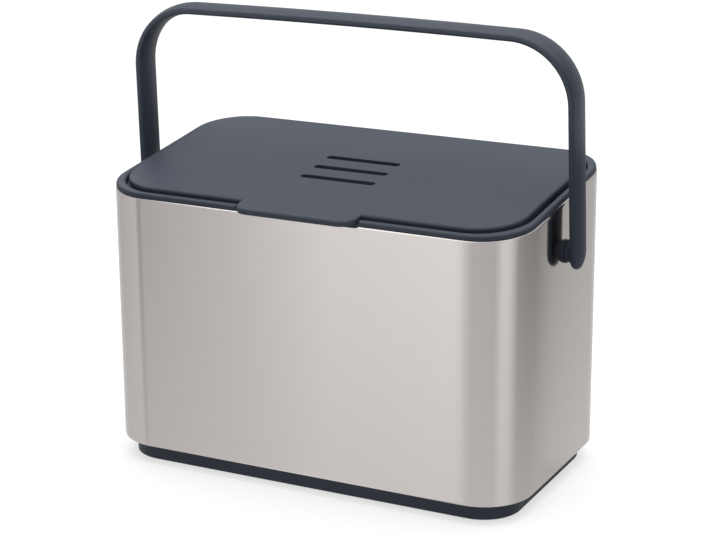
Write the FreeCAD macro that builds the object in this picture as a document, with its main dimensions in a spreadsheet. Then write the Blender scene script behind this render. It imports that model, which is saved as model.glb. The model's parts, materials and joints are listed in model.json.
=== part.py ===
"""A steel kitchen compost bin with a sloped top, a flip lid and a carrying handle.

Millimetres. X is the width, Y the depth with the front at -Y, Z is up, and the origin is on the
floor below the middle of the casing. The lid, collar and hinge are drawn flat in the plane of the
casing's top edge and placed on its slope; the handle is drawn about its pivots and leans a little.
"""
import FreeCAD, Part
import Sketcher
import math
import os

Vector = FreeCAD.Vector
Rotation = FreeCAD.Rotation
Placement = FreeCAD.Placement
X_AXIS = Vector(1, 0, 0)
Y_AXIS = Vector(0, 1, 0)
Z_AXIS = Vector(0, 0, 1)

SIZES = {
    # Casing
    "body_width": 260,
    "body_depth": 144,
    "corner_radius": 30,
    "front_height": 161.9,
    "top_slope": 6.2,
    "steel_wall": 0.8,
    "steel_roll": 1.6,
    "top_lip": 3.2,
    "bottom_lip": 6.8,
    "steel_bottom": 10.9,
    # Base and feet
    "base_inset": 7.2,
    "base_wall": 2.2,
    "base_floor": 2.6,
    "base_flange_inset": 2,
    "base_flange": 2,
    "base_round": 0.8,
    "foot_diameter": 14,
    "foot_thickness": 1.6,
    "foot_proud": 0.6,
    "foot_edge": 22,
    "centre_pad_diameter": 26,
    # Collar on the top edge
    "rim_inset": 0.5,
    "rim_width": 4.1,
    "rim_crest": 2.9,
    "rim_round": 1.5,
    "mouth_corner": 34,
    "ledge_depth": 1,
    "ledge_thickness": 2,
    "collar_depth": 10,
    "collar_wall": 2,
    "opening_inset": 12,
    "lip_clearance": 0.3,
    "snap_inset": 1.6,
    "snap_height": 1.5,
    "ear_radius": 12,
    "ear_thickness": 3,
    # Lid
    "lid_gap": 2,
    "lid_height": 4.7,
    "lid_plate": 2.2,
    "lid_skirt": 3.8,
    "lid_skirt_wall": 1.8,
    "lid_round": 1.5,
    "tab_width": 74,
    "tab_reach": 13.2,
    "tab_corner": 9,
    "tab_lip": 3.3,
    "tab_lip_wall": 2,
    "tab_notch_gap": 1.2,
    "tab_notch_floor": 1,
    "slot_length": 47,
    "slot_width": 5,
    "slot_pitch": 16.4,
    "slot_shift": 4.5,
    # Seal and filter under the lid
    "seal_inset": 2.8,
    "seal_width": 2.5,
    "seal_gap": 0.3,
    "filter_length": 84,
    "filter_width": 62,
    "filter_corner": 6,
    "filter_frame_wall": 1.8,
    "filter_frame_height": 9,
    "filter_fit": 0.3,
    "filter_air_gap": 1.5,
    "filter_pad": 5.4,
    "filter_cover_plate": 1.6,
    "cover_slot_width": 3.5,
    "cover_slot_length": 44,
    "cover_slot_pitch": 9,
    # Hinge at the back
    "hinge_edge": 55,
    "hinge_inset": 6.2,
    "hinge_level": 0.4,
    "hinge_pin_diameter": 2,
    "knuckle_diameter": 4.6,
    "knuckle_length": 24,
    "hinge_end_gap": 0.4,
    "hinge_lug_length": 4,
    "hinge_lug_cover": 0.8,
    "hinge_notch_gap": 0.5,
    "running_clearance": 0.05,
    "seat_clearance": 0.02,
    # Bucket
    "bucket_inset": 13.4,
    "bucket_flange": 1.4,
    "bucket_flange_inset": 8.8,
    "bucket_wall": 1.8,
    "bucket_floor": 2.2,
    "bucket_bottom": 14.5,
    "bucket_draft": 2.7,
    "bucket_round": 5,
    # Handle and its pivots
    "pivot_drop": 28.8,
    "handle_lean": 3.05,
    "handle_gap": 4.2,
    "handle_band": 18.8,
    "handle_thickness": 6.2,
    "handle_edge": 1.95,
    "handle_height": 120.3,
    "handle_corner": 36,
    "arm_incline": 0.83,
    "bar_bow_radius": 6000,
    "bush_flange_diameter": 13.2,
    "bush_flange": 1.2,
    "bush_diameter": 11,
    "axle_diameter": 7,
    "boss_diameter": 12,
    "side_play": 0.3,
    "washer_diameter": 12.5,
    "washer_thickness": 1,
    "screw_diameter": 3,
    "screw_length": 10,
    "screw_head_diameter": 6,
    "screw_head": 2,
}

FEET = {"front_left": (-1, -1), "front_right": (1, -1), "rear_left": (-1, 1), "rear_right": (1, 1)}
SIDES = {"left": -1, "right": 1}

doc = FreeCAD.newDocument("compost_bin")


def fill_sheet():
    """Put the driving dimensions in a sheet, one named cell each."""
    sheet = doc.addObject("Spreadsheet::Sheet", "sizes")
    for row, (name, value) in enumerate(SIZES.items(), 1):
        sheet.set(f"A{row}", name)
        sheet.set(f"B{row}", str(value))
        sheet.setAlias(f"B{row}", name)
    doc.recompute()
    return sheet


sheet = fill_sheet()


def size(name):
    """The expression text that reads one cell of the sheet."""
    if name not in SIZES:
        raise KeyError(name)
    return f"sizes.{name}"


def value(text):
    """The number that an expression gives now."""
    return float(sheet.evalExpression(text))


# Expressions that several pieces share
SLOPE = f"({size('top_slope')} * 1 deg)"
TOP_CENTRE = f"({size('front_height')} + {size('body_depth')} / 2 * tan({SLOPE}))"
TOP_DEPTH = f"({size('body_depth')} / cos({SLOPE}))"
LID_INSET = f"({size('rim_inset')} + {size('rim_width')} + {size('lid_gap')})"
LID_EDGE = f"({TOP_DEPTH} / 2 - {LID_INSET})"
LID_UNDERSIDE = f"({size('lid_height')} - {size('lid_plate')})"
HINGE_Y = f"({TOP_DEPTH} / 2 - {size('hinge_inset')})"
HINGE_SPACING = f"({size('body_width')} - 2 * {size('hinge_edge')})"
HINGE_PIN_LENGTH = (f"({size('knuckle_length')} + 2 * {size('hinge_end_gap')}"
                    f" + 2 * {size('hinge_lug_length')})")
PIVOT_HEIGHT = f"({TOP_CENTRE} - {size('pivot_drop')})"
PIVOT_Y_ON_TOP = f"(0 - {size('pivot_drop')} * sin({SLOPE}))"
PIVOT_Z_ON_TOP = f"(0 - {size('pivot_drop')} * cos({SLOPE}))"
EAR_OUTER = f"({size('body_width')} / 2 - {size('top_lip')} - {size('lip_clearance')})"
EAR_INNER = f"({EAR_OUTER} - {size('ear_thickness')})"
ARM_MIDDLE = f"({size('body_width')} / 2 + {size('handle_gap')} + {size('handle_thickness')} / 2)"


def new_body(label):
    """An empty body whose name and label are the sub-part's own."""
    body = doc.addObject("PartDesign::Body", label)
    body.Label = label
    return body


def new_sketch(body, plane, name, level="0", tilted=False):
    """A sketch on one of the body's origin planes, moved along its normal or onto the top's slope."""
    planes = {feature.Role: feature for feature in body.Origin.OriginFeatures}
    sketch = body.newObject("Sketcher::SketchObject", f"{body.Name}_{name}")
    sketch.AttachmentSupport = [(planes[plane], "")]
    sketch.MapMode = "FlatFace"
    if tilted:
        sketch.AttachmentOffset = Placement(Vector(), Rotation(X_AXIS, value(size("top_slope"))))
        sketch.setExpression("AttachmentOffset.Rotation.Angle", size("top_slope"))
    if level != "0":
        sketch.setExpression("AttachmentOffset.Base.z", level)
    return sketch


def constrain(sketch, kind, *places, to=None):
    """Add a constraint; where `to` is given, its value stays bound to that expression."""
    if to is None:
        return sketch.addConstraint(Sketcher.Constraint(kind, *places))
    number = value(to)
    if kind == "Angle":
        number = math.radians(number)
    index = sketch.addConstraint(Sketcher.Constraint(kind, *places, number))
    sketch.setExpression(f"Constraints[{index}]", to)
    return index


def pin_point(sketch, geometry, end, x, y):
    """Hold one end of a curve at a place given by two expressions; 0 means on the axis."""
    if x == "0":
        constrain(sketch, "PointOnObject", geometry, end, -2)
    else:
        constrain(sketch, "DistanceX", -1, 1, geometry, end, to=x)
    if y == "0":
        constrain(sketch, "PointOnObject", geometry, end, -1)
    else:
        constrain(sketch, "DistanceY", -1, 1, geometry, end, to=y)


def polygon(sketch, corners):
    """A closed polygon through corners that are pairs of expressions."""
    points = [(value(x), value(y)) for x, y in corners]
    sides = [line(sketch, start, stop) for start, stop in zip(points, points[1:] + points[:1])]
    for side, following in zip(sides, sides[1:] + sides[:1]):
        constrain(sketch, "Coincident", side, 2, following, 1)
    for side, (x, y) in zip(sides, corners):
        pin_point(sketch, side, 1, x, y)


def box_outline(sketch, left, right, low, high):
    """A rectangle between two X and two Y expressions."""
    polygon(sketch, [(left, low), (right, low), (right, high), (left, high)])


def circle(sketch, x, y, diameter):
    """A circle about a point, with its diameter."""
    shape = Part.Circle(Vector(value(x), value(y), 0), Z_AXIS, value(diameter) / 2)
    ring = sketch.addGeometry(shape, False)
    pin_point(sketch, ring, 3, x, y)
    constrain(sketch, "Diameter", ring, to=diameter)


def arc(sketch, centre, radius, start, stop):
    """An arc between two angles in degrees, drawn as a guess for the constraints to settle."""
    whole = Part.Circle(centre, Z_AXIS, radius)
    return sketch.addGeometry(Part.ArcOfCircle(whole, math.radians(start), math.radians(stop)), False)


def line(sketch, start, stop):
    """A straight line between two points, drawn as a guess for the constraints to settle."""
    return sketch.addGeometry(Part.LineSegment(Vector(*start, 0), Vector(*stop, 0)), False)


def round_rectangle(sketch, width, depth, radius):
    """A rectangle with four equal round corners, centred on the sketch's origin."""
    x = value(width) / 2
    y = value(depth) / 2
    r = value(radius)
    low = line(sketch, (r - x, -y), (x - r, -y))
    right = line(sketch, (x, r - y), (x, y - r))
    high = line(sketch, (x - r, y), (r - x, y))
    left = line(sketch, (-x, y - r), (-x, r - y))
    corners = [arc(sketch, Vector(sx * (x - r), sy * (y - r), 0), r, start, start + 90)
               for sx, sy, start in ((1, -1, -90), (1, 1, 0), (-1, 1, 90), (-1, -1, 180))]
    for before, corner, after in zip((low, right, high, left), corners, (right, high, left, low)):
        constrain(sketch, "Tangent", before, 2, corner, 1)
        constrain(sketch, "Tangent", corner, 2, after, 1)
    constrain(sketch, "Horizontal", high)
    constrain(sketch, "Vertical", left)
    for corner in corners[1:]:
        constrain(sketch, "Equal", corners[0], corner)
    constrain(sketch, "Symmetric", low, 1, low, 2, -2)
    constrain(sketch, "Symmetric", right, 1, right, 2, -1)
    constrain(sketch, "Radius", corners[0], to=radius)
    constrain(sketch, "DistanceX", left, 1, right, 1, to=width)
    constrain(sketch, "DistanceY", low, 1, high, 1, to=depth)


def slot_outline(sketch, y, length, width):
    """A slot with round ends along X, centred on X and at the height y."""
    half = (value(length) - value(width)) / 2
    r = value(width) / 2
    level = value(y)
    low = line(sketch, (-half, level - r), (half, level - r))
    high = line(sketch, (half, level + r), (-half, level + r))
    right = arc(sketch, Vector(half, level, 0), r, -90, 90)
    left = arc(sketch, Vector(-half, level, 0), r, 90, 270)
    for before, after in ((low, right), (right, high), (high, left), (left, low)):
        constrain(sketch, "Tangent", before, 2, after, 1)
    constrain(sketch, "Equal", right, left)
    constrain(sketch, "Symmetric", low, 1, low, 2, -2)
    constrain(sketch, "Diameter", right, to=width)
    constrain(sketch, "DistanceX", low, 1, low, 2, to=f"{length} - {width}")
    constrain(sketch, "DistanceY", -1, 1, right, 3, to=y)


def add(body, sketch, length, downwards=False, both_ways=False, draft=None):
    """Pad a sketch by an expression, along its normal, against it or half to each side."""
    pad = body.newObject("PartDesign::Pad", f"{sketch.Name}_pad")
    pad.Profile = sketch
    pad.Reversed = downwards
    pad.SideType = "Symmetric" if both_ways else "One side"
    pad.setExpression("Length", length)
    if draft:
        pad.setExpression("TaperAngle", f"0 - {draft}")
    return computed(pad)


def computed(feature):
    """Compute a feature and stop there if it failed."""
    doc.recompute()
    if not feature.isValid():
        raise RuntimeError(f"{feature.Name} failed: {feature.State}")
    return feature


def cut(body, sketch, length, upwards=False, both_ways=False):
    """Pocket a sketch by an expression, and make sure that it took something away."""
    before = body.Shape.Volume
    pocket = body.newObject("PartDesign::Pocket", f"{sketch.Name}_pocket")
    pocket.Profile = sketch
    pocket.Reversed = upwards
    pocket.SideType = "Symmetric" if both_ways else "One side"
    pocket.setExpression("Length", length)
    computed(pocket)
    if body.Shape.Volume >= before:
        raise RuntimeError(f"{pocket.Name} cuts nothing")
    return pocket


def spin(body, sketch, angle=360, backwards=False):
    """Revolve a sketch about the body's X axis."""
    axes = {feature.Role: feature for feature in body.Origin.OriginFeatures}
    turned = body.newObject("PartDesign::Revolution", f"{sketch.Name}_turned")
    turned.Profile = sketch
    turned.ReferenceAxis = (axes["X_Axis"], [""])
    turned.Angle = angle
    turned.Reversed = backwards
    return computed(turned)


def round_edges(body, radius, keep):
    """Fillet the edges of the body's tip that `keep` accepts."""
    base = body.Tip
    names = [f"Edge{i}" for i, edge in enumerate(base.Shape.Edges, 1) if keep(edge)]
    fillet = body.newObject("PartDesign::Fillet", f"{base.Name}_round")
    fillet.Base = (base, names)
    fillet.setExpression("Radius", radius)
    return computed(fillet)


def lies_on(edge, normal, level):
    """True where the whole edge lies in the plane normal . point = level."""
    points = edge.discretize(5)
    return all(abs(normal.dot(point) - level) < 1e-4 for point in points)


def inset_outline(sketch, inset, depth=None, corner="corner_radius"):
    """The casing's outline moved in by an inset, on the floor or, with TOP_DEPTH, on the slope."""
    depth = depth or size("body_depth")
    round_rectangle(sketch, f"{size('body_width')} - 2 * ({inset})", f"{depth} - 2 * ({inset})",
                    f"{size(corner)} - ({inset})")


def mouth_outline(sketch, inset):
    """The outline of the lid's recess on the slope, moved in: rounder at its corners than the casing."""
    inset_outline(sketch, inset, TOP_DEPTH, "mouth_corner")


def on_slope(body):
    """Put a body that is drawn flat into the plane of the casing's top edge."""
    body.Placement = Placement(Vector(), Rotation(X_AXIS, value(size("top_slope"))))
    body.setExpression("Placement.Base.z", TOP_CENTRE)
    body.setExpression("Placement.Rotation.Angle", size("top_slope"))


def top_normal():
    """The unit normal of the sloped top."""
    return Rotation(X_AXIS, value(size("top_slope"))).multVec(Z_AXIS)


def slant_cut(body, drop):
    """Cut off everything above a plane that lies `drop` below the casing's top plane."""
    level = f"{TOP_CENTRE} - ({drop}) / cos({SLOPE})"
    sketch = new_sketch(body, "XY_Plane", "slant", level, tilted=True)
    reach = f"({size('body_width')} + {size('body_depth')})"
    box_outline(sketch, f"0 - {reach}", reach, f"0 - {reach}", reach)
    cut(body, sketch, reach, upwards=True)
    return top_normal().dot(Vector(0, 0, value(level)))


def casing_block(label, inset, bottom, drop, roll):
    """A block with the casing's outline moved in, a sloped top and rolled edges top and bottom."""
    body = new_body(label)
    outline = new_sketch(body, "XY_Plane", "outline", bottom)
    inset_outline(outline, inset)
    add(body, outline, f"{TOP_CENTRE} + {size('body_depth')} * tan({SLOPE}) - ({bottom})")
    level = slant_cut(body, drop)
    floor = value(bottom)
    normal = top_normal()
    round_edges(body, roll, lambda edge: lies_on(edge, normal, level) or lies_on(edge, Z_AXIS, floor))
    return body


def prism(label, inset, bottom, height):
    """An upright block with the casing's outline moved in."""
    body = new_body(label)
    outline = new_sketch(body, "XY_Plane", "outline", bottom)
    inset_outline(outline, inset)
    add(body, outline, height)
    return body


def cylinder(label, diameter, length, place):
    """A Part cylinder with its size bound to expressions."""
    shape = doc.addObject("Part::Cylinder", label)
    shape.Label = label
    shape.setExpression("Radius", f"({diameter}) / 2")
    shape.setExpression("Height", length)
    shape.Placement = place
    return shape


def fuse(label, *pieces):
    """Join solids into one."""
    joined = doc.addObject("Part::MultiFuse", label)
    joined.Shapes = list(pieces)
    doc.recompute()
    return joined


def subtract(label, base, tool):
    """Take a tool away from a base and name the result."""
    result = doc.addObject("Part::Cut", label)
    result.Label = label
    result.Base = base
    result.Tool = tool
    doc.recompute()
    return result


def make_steel_sleeve():
    """The casing: a round-cornered tube of sheet steel, edges rolled in at the top and bottom."""
    outer = casing_block("sleeve_outer", "0", size("steel_bottom"), "0", size("steel_roll"))
    inside = f"{size('steel_bottom')} + {size('steel_wall')}"
    hollow = casing_block("sleeve_hollow", size("steel_wall"), inside, size("steel_wall"),
                          f"{size('steel_roll')} - {size('steel_wall')}")
    mouth = prism("sleeve_mouth", size("top_lip"), size("front_height") + " / 2", size("front_height"))
    underside = prism("sleeve_underside", size("bottom_lip"), "0", size("front_height") + " / 2")
    holes = cylinder("sleeve_pivot_holes", f"{size('bush_diameter')} + 2 * {size('seat_clearance')}",
                     f"2 * {size('body_width')}", Placement(Vector(), Rotation(Y_AXIS, 90)))
    holes.setExpression("Placement.Base.x", f"0 - {size('body_width')}")
    holes.setExpression("Placement.Base.z", PIVOT_HEIGHT)
    return subtract("steel_sleeve", outer, fuse("sleeve_space", hollow, mouth, underside, holes))


def make_base_plinth():
    """The set-in base: a tray whose flange sits on the steel's bottom lip, with a pad level with the feet."""
    body = new_body("base_plinth")
    seat = f"({size('steel_bottom')} + {size('steel_wall')})"
    outline = new_sketch(body, "XY_Plane", "outline", size("foot_proud"))
    inset_outline(outline, size("base_inset"))
    add(body, outline, f"{seat} - {size('foot_proud')}")
    bottom = value(size("foot_proud"))
    round_edges(body, size("base_round"), lambda edge: lies_on(edge, Z_AXIS, bottom))
    pad = new_sketch(body, "XY_Plane", "centre_pad", size("foot_proud"))
    circle(pad, "0", "0", size("centre_pad_diameter"))
    add(body, pad, size("foot_proud"), downwards=True)
    flange = new_sketch(body, "XY_Plane", "flange", seat)
    inset_outline(flange, size("base_flange_inset"))
    add(body, flange, size("base_flange"))
    hollow = new_sketch(body, "XY_Plane", "hollow", f"{seat} + {size('base_flange')}")
    inset_outline(hollow, f"{size('base_inset')} + {size('base_wall')}")
    cut(body, hollow, f"{seat} + {size('base_flange')} - {size('foot_proud')} - {size('base_floor')}")
    seats = new_sketch(body, "XY_Plane", "foot_seats", size("foot_proud"))
    for side_x, side_y in FEET.values():
        circle(seats, *foot_place(side_x, side_y),
               f"{size('foot_diameter')} + 2 * {size('seat_clearance')}")
    cut(body, seats, f"{size('foot_thickness')} - {size('foot_proud')}", upwards=True)
    return body


def foot_place(side_x, side_y):
    """Expressions for the middle of one foot."""
    return tuple(f"{side} * ({size(name)} / 2 - {size('base_inset')} - {size('foot_edge')})"
                 for side, name in ((side_x, "body_width"), (side_y, "body_depth")))


def make_foot(corner):
    """A round rubber foot, let into the base and standing a little proud of it."""
    x, y = foot_place(*FEET[corner])
    foot = cylinder(f"foot_{corner}", size("foot_diameter"), size("foot_thickness"), Placement())
    foot.setExpression("Placement.Base.x", x)
    foot.setExpression("Placement.Base.y", y)
    return foot


def make_inner_bucket():
    """The bucket: drafted walls, a round floor edge and a sloped flange that hangs on the collar."""
    wall = size("bucket_wall")
    shell = bucket_block("bucket_shell", "0", size("bucket_bottom"), size("bucket_round"))
    slant_cut(shell, size("ledge_depth"))
    flange = new_body("bucket_flange_ring")
    outline = new_sketch(flange, "XY_Plane", "outline", f"0 - {size('ledge_depth')}")
    inset_outline(outline, size("bucket_flange_inset"), TOP_DEPTH)
    add(flange, outline, size("bucket_flange"))
    on_slope(flange)
    space = bucket_block("bucket_space", wall, f"({size('bucket_bottom')} + {size('bucket_floor')})",
                         f"{size('bucket_round')} - {wall}")
    return subtract("inner_bucket", fuse("bucket_solid", shell, flange), space)


def bucket_block(label, wall, bottom, edge_round):
    """A block that narrows downwards from the bucket's mouth, moved in by a wall, with a round floor edge."""
    body = new_body(label)
    top = f"({TOP_CENTRE} + {size('body_depth')} * tan({SLOPE}))"
    mouth = new_sketch(body, "XY_Plane", "mouth", top)
    inset_outline(mouth, f"({size('bucket_inset')} + {wall})")
    add(body, mouth, f"{top} - {bottom}", downwards=True, draft=size("bucket_draft"))
    floor = value(bottom)
    round_edges(body, edge_round, lambda edge: lies_on(edge, Z_AXIS, floor))
    return body


def make_top_collar():
    """The rim on the casing: a round bead, a ledge, skirts that clip in, pivot ears and hinge lugs."""
    body = new_body("top_collar")
    skirt_inset = f"({size('top_lip')} + {size('lip_clearance')})"
    recess_inset = f"({size('rim_inset')} + {size('rim_width')})"
    ledge = f"(0 - {size('ledge_depth')})"
    bead = new_sketch(body, "XY_Plane", "bead")
    inset_outline(bead, size("rim_inset"), TOP_DEPTH)
    add(body, bead, size("rim_crest"))
    skirt = new_sketch(body, "XY_Plane", "skirt")
    inset_outline(skirt, skirt_inset, TOP_DEPTH)
    add(body, skirt, size("collar_depth"), downwards=True)
    snap = new_sketch(body, "XY_Plane", "snap", f"0 - {size('steel_wall')} - {size('lip_clearance')}")
    inset_outline(snap, size("snap_inset"), TOP_DEPTH)
    add(body, snap, size("snap_height"), downwards=True)
    recess = new_sketch(body, "XY_Plane", "recess", size("rim_crest"))
    mouth_outline(recess, recess_inset)
    cut(body, recess, f"{size('rim_crest')} + {size('ledge_depth')}")
    crest = value(size("rim_crest"))
    round_edges(body, size("rim_round"), lambda edge: lies_on(edge, Z_AXIS, crest))
    opening = new_sketch(body, "XY_Plane", "opening", ledge)
    inset_outline(opening, size("opening_inset"), TOP_DEPTH)
    cut(body, opening, size("collar_depth"))
    channel = new_sketch(body, "XY_Plane", "channel", f"0 - {size('collar_depth')}")
    inset_outline(channel, f"({skirt_inset} + {size('collar_wall')})", TOP_DEPTH)
    inset_outline(channel, f"({size('opening_inset')} - {size('collar_wall')})", TOP_DEPTH)
    cut(body, channel, f"{size('collar_depth')} - {size('ledge_depth')} - {size('ledge_thickness')}",
        upwards=True)
    add_pivot_ears(body)
    add_hinge_lugs(body)
    notch = new_sketch(body, "XY_Plane", "tab_notch", size("rim_crest"))
    half = f"({size('tab_width')} / 2 + {size('tab_notch_gap')})"
    box_outline(notch, f"0 - {half}", half, f"0 - {TOP_DEPTH}", f"{recess_inset} - {TOP_DEPTH} / 2")
    cut(body, notch, f"{size('rim_crest')} - {size('tab_notch_floor')}")
    on_slope(body)
    return body


def add_pivot_ears(body):
    """An ear on each side that goes down inside the steel and carries the handle's bush."""
    radius = size("ear_radius")
    root = f"(0 - {size('collar_depth')} + {size('collar_wall')})"
    for side, sign in SIDES.items():
        ear = new_sketch(body, "YZ_Plane", f"ear_{side}", EAR_INNER if sign > 0 else f"0 - {EAR_INNER}")
        left = f"{PIVOT_Y_ON_TOP} - {radius}"
        right = f"{PIVOT_Y_ON_TOP} + {radius}"
        ear_outline(ear, left, right, root, radius)
        add(body, ear, size("ear_thickness"), downwards=sign < 0)
    hole = new_sketch(body, "YZ_Plane", "bush_holes")
    circle(hole, PIVOT_Y_ON_TOP, PIVOT_Z_ON_TOP, f"{size('bush_diameter')} + 2 * {size('seat_clearance')}")
    cut(body, hole, f"2 * {size('body_width')}", both_ways=True)


def ear_outline(sketch, left, right, root, radius):
    """A strap that hangs from the skirt and ends in a half circle about the pivot."""
    y0 = value(left)
    y1 = value(right)
    top = value(root)
    low = value(PIVOT_Z_ON_TOP)
    up = line(sketch, (y0, low), (y0, top))
    across = line(sketch, (y0, top), (y1, top))
    down = line(sketch, (y1, top), (y1, low))
    end = arc(sketch, Vector((y0 + y1) / 2, low, 0), value(radius), 180, 360)
    constrain(sketch, "Coincident", up, 2, across, 1)
    constrain(sketch, "Coincident", across, 2, down, 1)
    constrain(sketch, "Tangent", down, 2, end, 2)
    constrain(sketch, "Tangent", end, 1, up, 1)
    constrain(sketch, "Horizontal", across)
    constrain(sketch, "Vertical", up)
    constrain(sketch, "Vertical", down)
    constrain(sketch, "Radius", end, to=radius)
    pin_point(sketch, end, 3, PIVOT_Y_ON_TOP, PIVOT_Z_ON_TOP)
    constrain(sketch, "DistanceY", -1, 1, across, 1, to=root)


def add_hinge_lugs(body):
    """Lugs on the rear ledge that hold the hinge pins, with a notch for each of the lid's knuckles."""
    lug_radius = f"({size('hinge_pin_diameter')} / 2 + {size('hinge_lug_cover')})"
    skirt_back = f"({TOP_DEPTH} / 2 - {size('top_lip')} - {size('lip_clearance')})"
    ledge = f"(0 - {size('ledge_depth')})"
    notch_half = f"({size('knuckle_length')} / 2 + {size('hinge_end_gap')})"
    reach = f"({size('knuckle_diameter')} / 2 + {size('hinge_notch_gap')})"
    for side, sign in SIDES.items():
        middle = f"({sign} * {HINGE_SPACING} / 2)"
        lug = new_sketch(body, "YZ_Plane", f"lug_{side}", middle)
        box_outline(lug, f"{HINGE_Y} - {lug_radius}", skirt_back, ledge, size("hinge_level"))
        add(body, lug, HINGE_PIN_LENGTH, both_ways=True)
        barrel = new_sketch(body, "YZ_Plane", f"lug_barrel_{side}", middle)
        circle(barrel, HINGE_Y, size("hinge_level"), f"2 * {lug_radius}")
        add(body, barrel, HINGE_PIN_LENGTH, both_ways=True)
        notch = new_sketch(body, "XY_Plane", f"notch_{side}", size("rim_crest"))
        box_outline(notch, f"{middle} - {notch_half}", f"{middle} + {notch_half}",
                    f"{HINGE_Y} - {reach}", f"{HINGE_Y} + {reach}")
        cut(body, notch, f"{size('rim_crest')} - {size('hinge_level')} + {reach}")
    bore = new_sketch(body, "YZ_Plane", "pin_bores")
    circle(bore, HINGE_Y, size("hinge_level"),
           f"{size('hinge_pin_diameter')} + 2 * {size('seat_clearance')}")
    cut(body, bore, f"{HINGE_SPACING} + {HINGE_PIN_LENGTH}", both_ways=True)


def make_hinge_pin(side):
    """A plain steel pin through two lugs and a knuckle."""
    body = new_body(f"hinge_pin_{side}")
    start = f"{SIDES[side]} * {HINGE_SPACING} / 2"
    section = new_sketch(body, "YZ_Plane", "section", start)
    circle(section, HINGE_Y, size("hinge_level"), size("hinge_pin_diameter"))
    add(body, section, HINGE_PIN_LENGTH, both_ways=True)
    on_slope(body)
    return body


def make_lid_panel():
    """The lid: a plate with a skirt, a front finger tab, three vent slots and two hinge knuckles."""
    body = new_body("lid_panel")
    plate = new_sketch(body, "XY_Plane", "plate", LID_UNDERSIDE)
    mouth_outline(plate, LID_INSET)
    add(body, plate, size("lid_plate"))
    tab = new_sketch(body, "XY_Plane", "tab", LID_UNDERSIDE)
    tab_outline(tab, "0")
    add(body, tab, size("lid_plate"))
    top = value(size("lid_height"))
    round_edges(body, size("lid_round"), lambda edge: lies_on(edge, Z_AXIS, top))
    lip_depth = f"({size('tab_lip')} - {size('lid_plate')})"
    lip = new_sketch(body, "XY_Plane", "tab_lip", LID_UNDERSIDE)
    tab_outline(lip, "0")
    add(body, lip, lip_depth, downwards=True)
    space = new_sketch(body, "XY_Plane", "tab_space", f"{LID_UNDERSIDE} - {lip_depth}")
    tab_outline(space, size("tab_lip_wall"))
    cut(body, space, lip_depth, upwards=True)
    skirt = new_sketch(body, "XY_Plane", "skirt", LID_UNDERSIDE)
    mouth_outline(skirt, LID_INSET)
    mouth_outline(skirt, f"{LID_INSET} + {size('lid_skirt_wall')}")
    add(body, skirt, f"{size('lid_skirt')} - {size('lid_plate')}", downwards=True)
    slots = new_sketch(body, "XY_Plane", "slots", size("lid_height"))
    for step in (-1, 0, 1):
        slot_outline(slots, f"{step} * {size('slot_pitch')} - {size('slot_shift')}",
                     size("slot_length"), size("slot_width"))
    cut(body, slots, size("lid_plate"))
    add_knuckles(body)
    on_slope(body)
    return body


def tab_outline(sketch, inset):
    """The finger tab, moved in by an inset: square to the lid's edge, with two round front corners."""
    front = f"({inset} - {LID_EDGE} - {size('tab_reach')})"
    width = f"({size('tab_width')} - 2 * ({inset}))"
    corner = f"({size('tab_corner')} - ({inset}))"
    half = value(width) / 2
    y0 = value(front)
    y1 = 0 - value(LID_EDGE) + value(size("lid_skirt_wall"))
    r = value(corner)
    low = line(sketch, (half - r, y0), (r - half, y0))
    left = line(sketch, (-half, y0 + r), (-half, y1))
    back = line(sketch, (-half, y1), (half, y1))
    right = line(sketch, (half, y1), (half, y0 + r))
    turn_left = arc(sketch, Vector(r - half, y0 + r, 0), r, 180, 270)
    turn_right = arc(sketch, Vector(half - r, y0 + r, 0), r, 270, 360)
    constrain(sketch, "Tangent", low, 2, turn_left, 2)
    constrain(sketch, "Tangent", turn_left, 1, left, 1)
    constrain(sketch, "Coincident", left, 2, back, 1)
    constrain(sketch, "Coincident", back, 2, right, 1)
    constrain(sketch, "Tangent", right, 2, turn_right, 2)
    constrain(sketch, "Tangent", turn_right, 1, low, 1)
    constrain(sketch, "Horizontal", low)
    constrain(sketch, "Vertical", left)
    constrain(sketch, "Vertical", right)
    constrain(sketch, "Equal", turn_left, turn_right)
    constrain(sketch, "Symmetric", back, 1, back, 2, -2)
    constrain(sketch, "Radius", turn_left, to=corner)
    constrain(sketch, "DistanceX", back, 1, back, 2, to=width)
    constrain(sketch, "DistanceY", -1, 1, low, 1, to=front)
    constrain(sketch, "DistanceY", -1, 1, back, 1, to=f"{size('lid_skirt_wall')} - {LID_EDGE}")


def add_knuckles(body):
    """Two knuckles under the rear edge, hung from the plate, with the skirt cut away round the lugs."""
    reach = f"({HINGE_PIN_LENGTH} / 2 + {size('hinge_notch_gap')})"
    web_front = f"({HINGE_Y} - {size('knuckle_diameter')} / 2)"
    for side, sign in SIDES.items():
        middle = f"({sign} * {HINGE_SPACING} / 2)"
        gap = new_sketch(body, "XY_Plane", f"skirt_gap_{side}", LID_UNDERSIDE)
        box_outline(gap, f"{middle} - {reach}", f"{middle} + {reach}",
                    f"{LID_EDGE} - 2 * {size('lid_skirt_wall')}", f"{LID_EDGE} + {size('lid_gap')}")
        cut(body, gap, size("lid_skirt"))
        web = new_sketch(body, "YZ_Plane", f"web_{side}", middle)
        box_outline(web, web_front, LID_EDGE, size("hinge_level"), LID_UNDERSIDE)
        add(body, web, size("knuckle_length"), both_ways=True)
        barrel = new_sketch(body, "YZ_Plane", f"barrel_{side}", middle)
        circle(barrel, HINGE_Y, size("hinge_level"), size("knuckle_diameter"))
        add(body, barrel, size("knuckle_length"), both_ways=True)
    bore = new_sketch(body, "YZ_Plane", "pin_bore")
    circle(bore, HINGE_Y, size("hinge_level"),
           f"{size('hinge_pin_diameter')} + 2 * {size('running_clearance')}")
    cut(body, bore, f"{HINGE_SPACING} + {HINGE_PIN_LENGTH}", both_ways=True)


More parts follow.
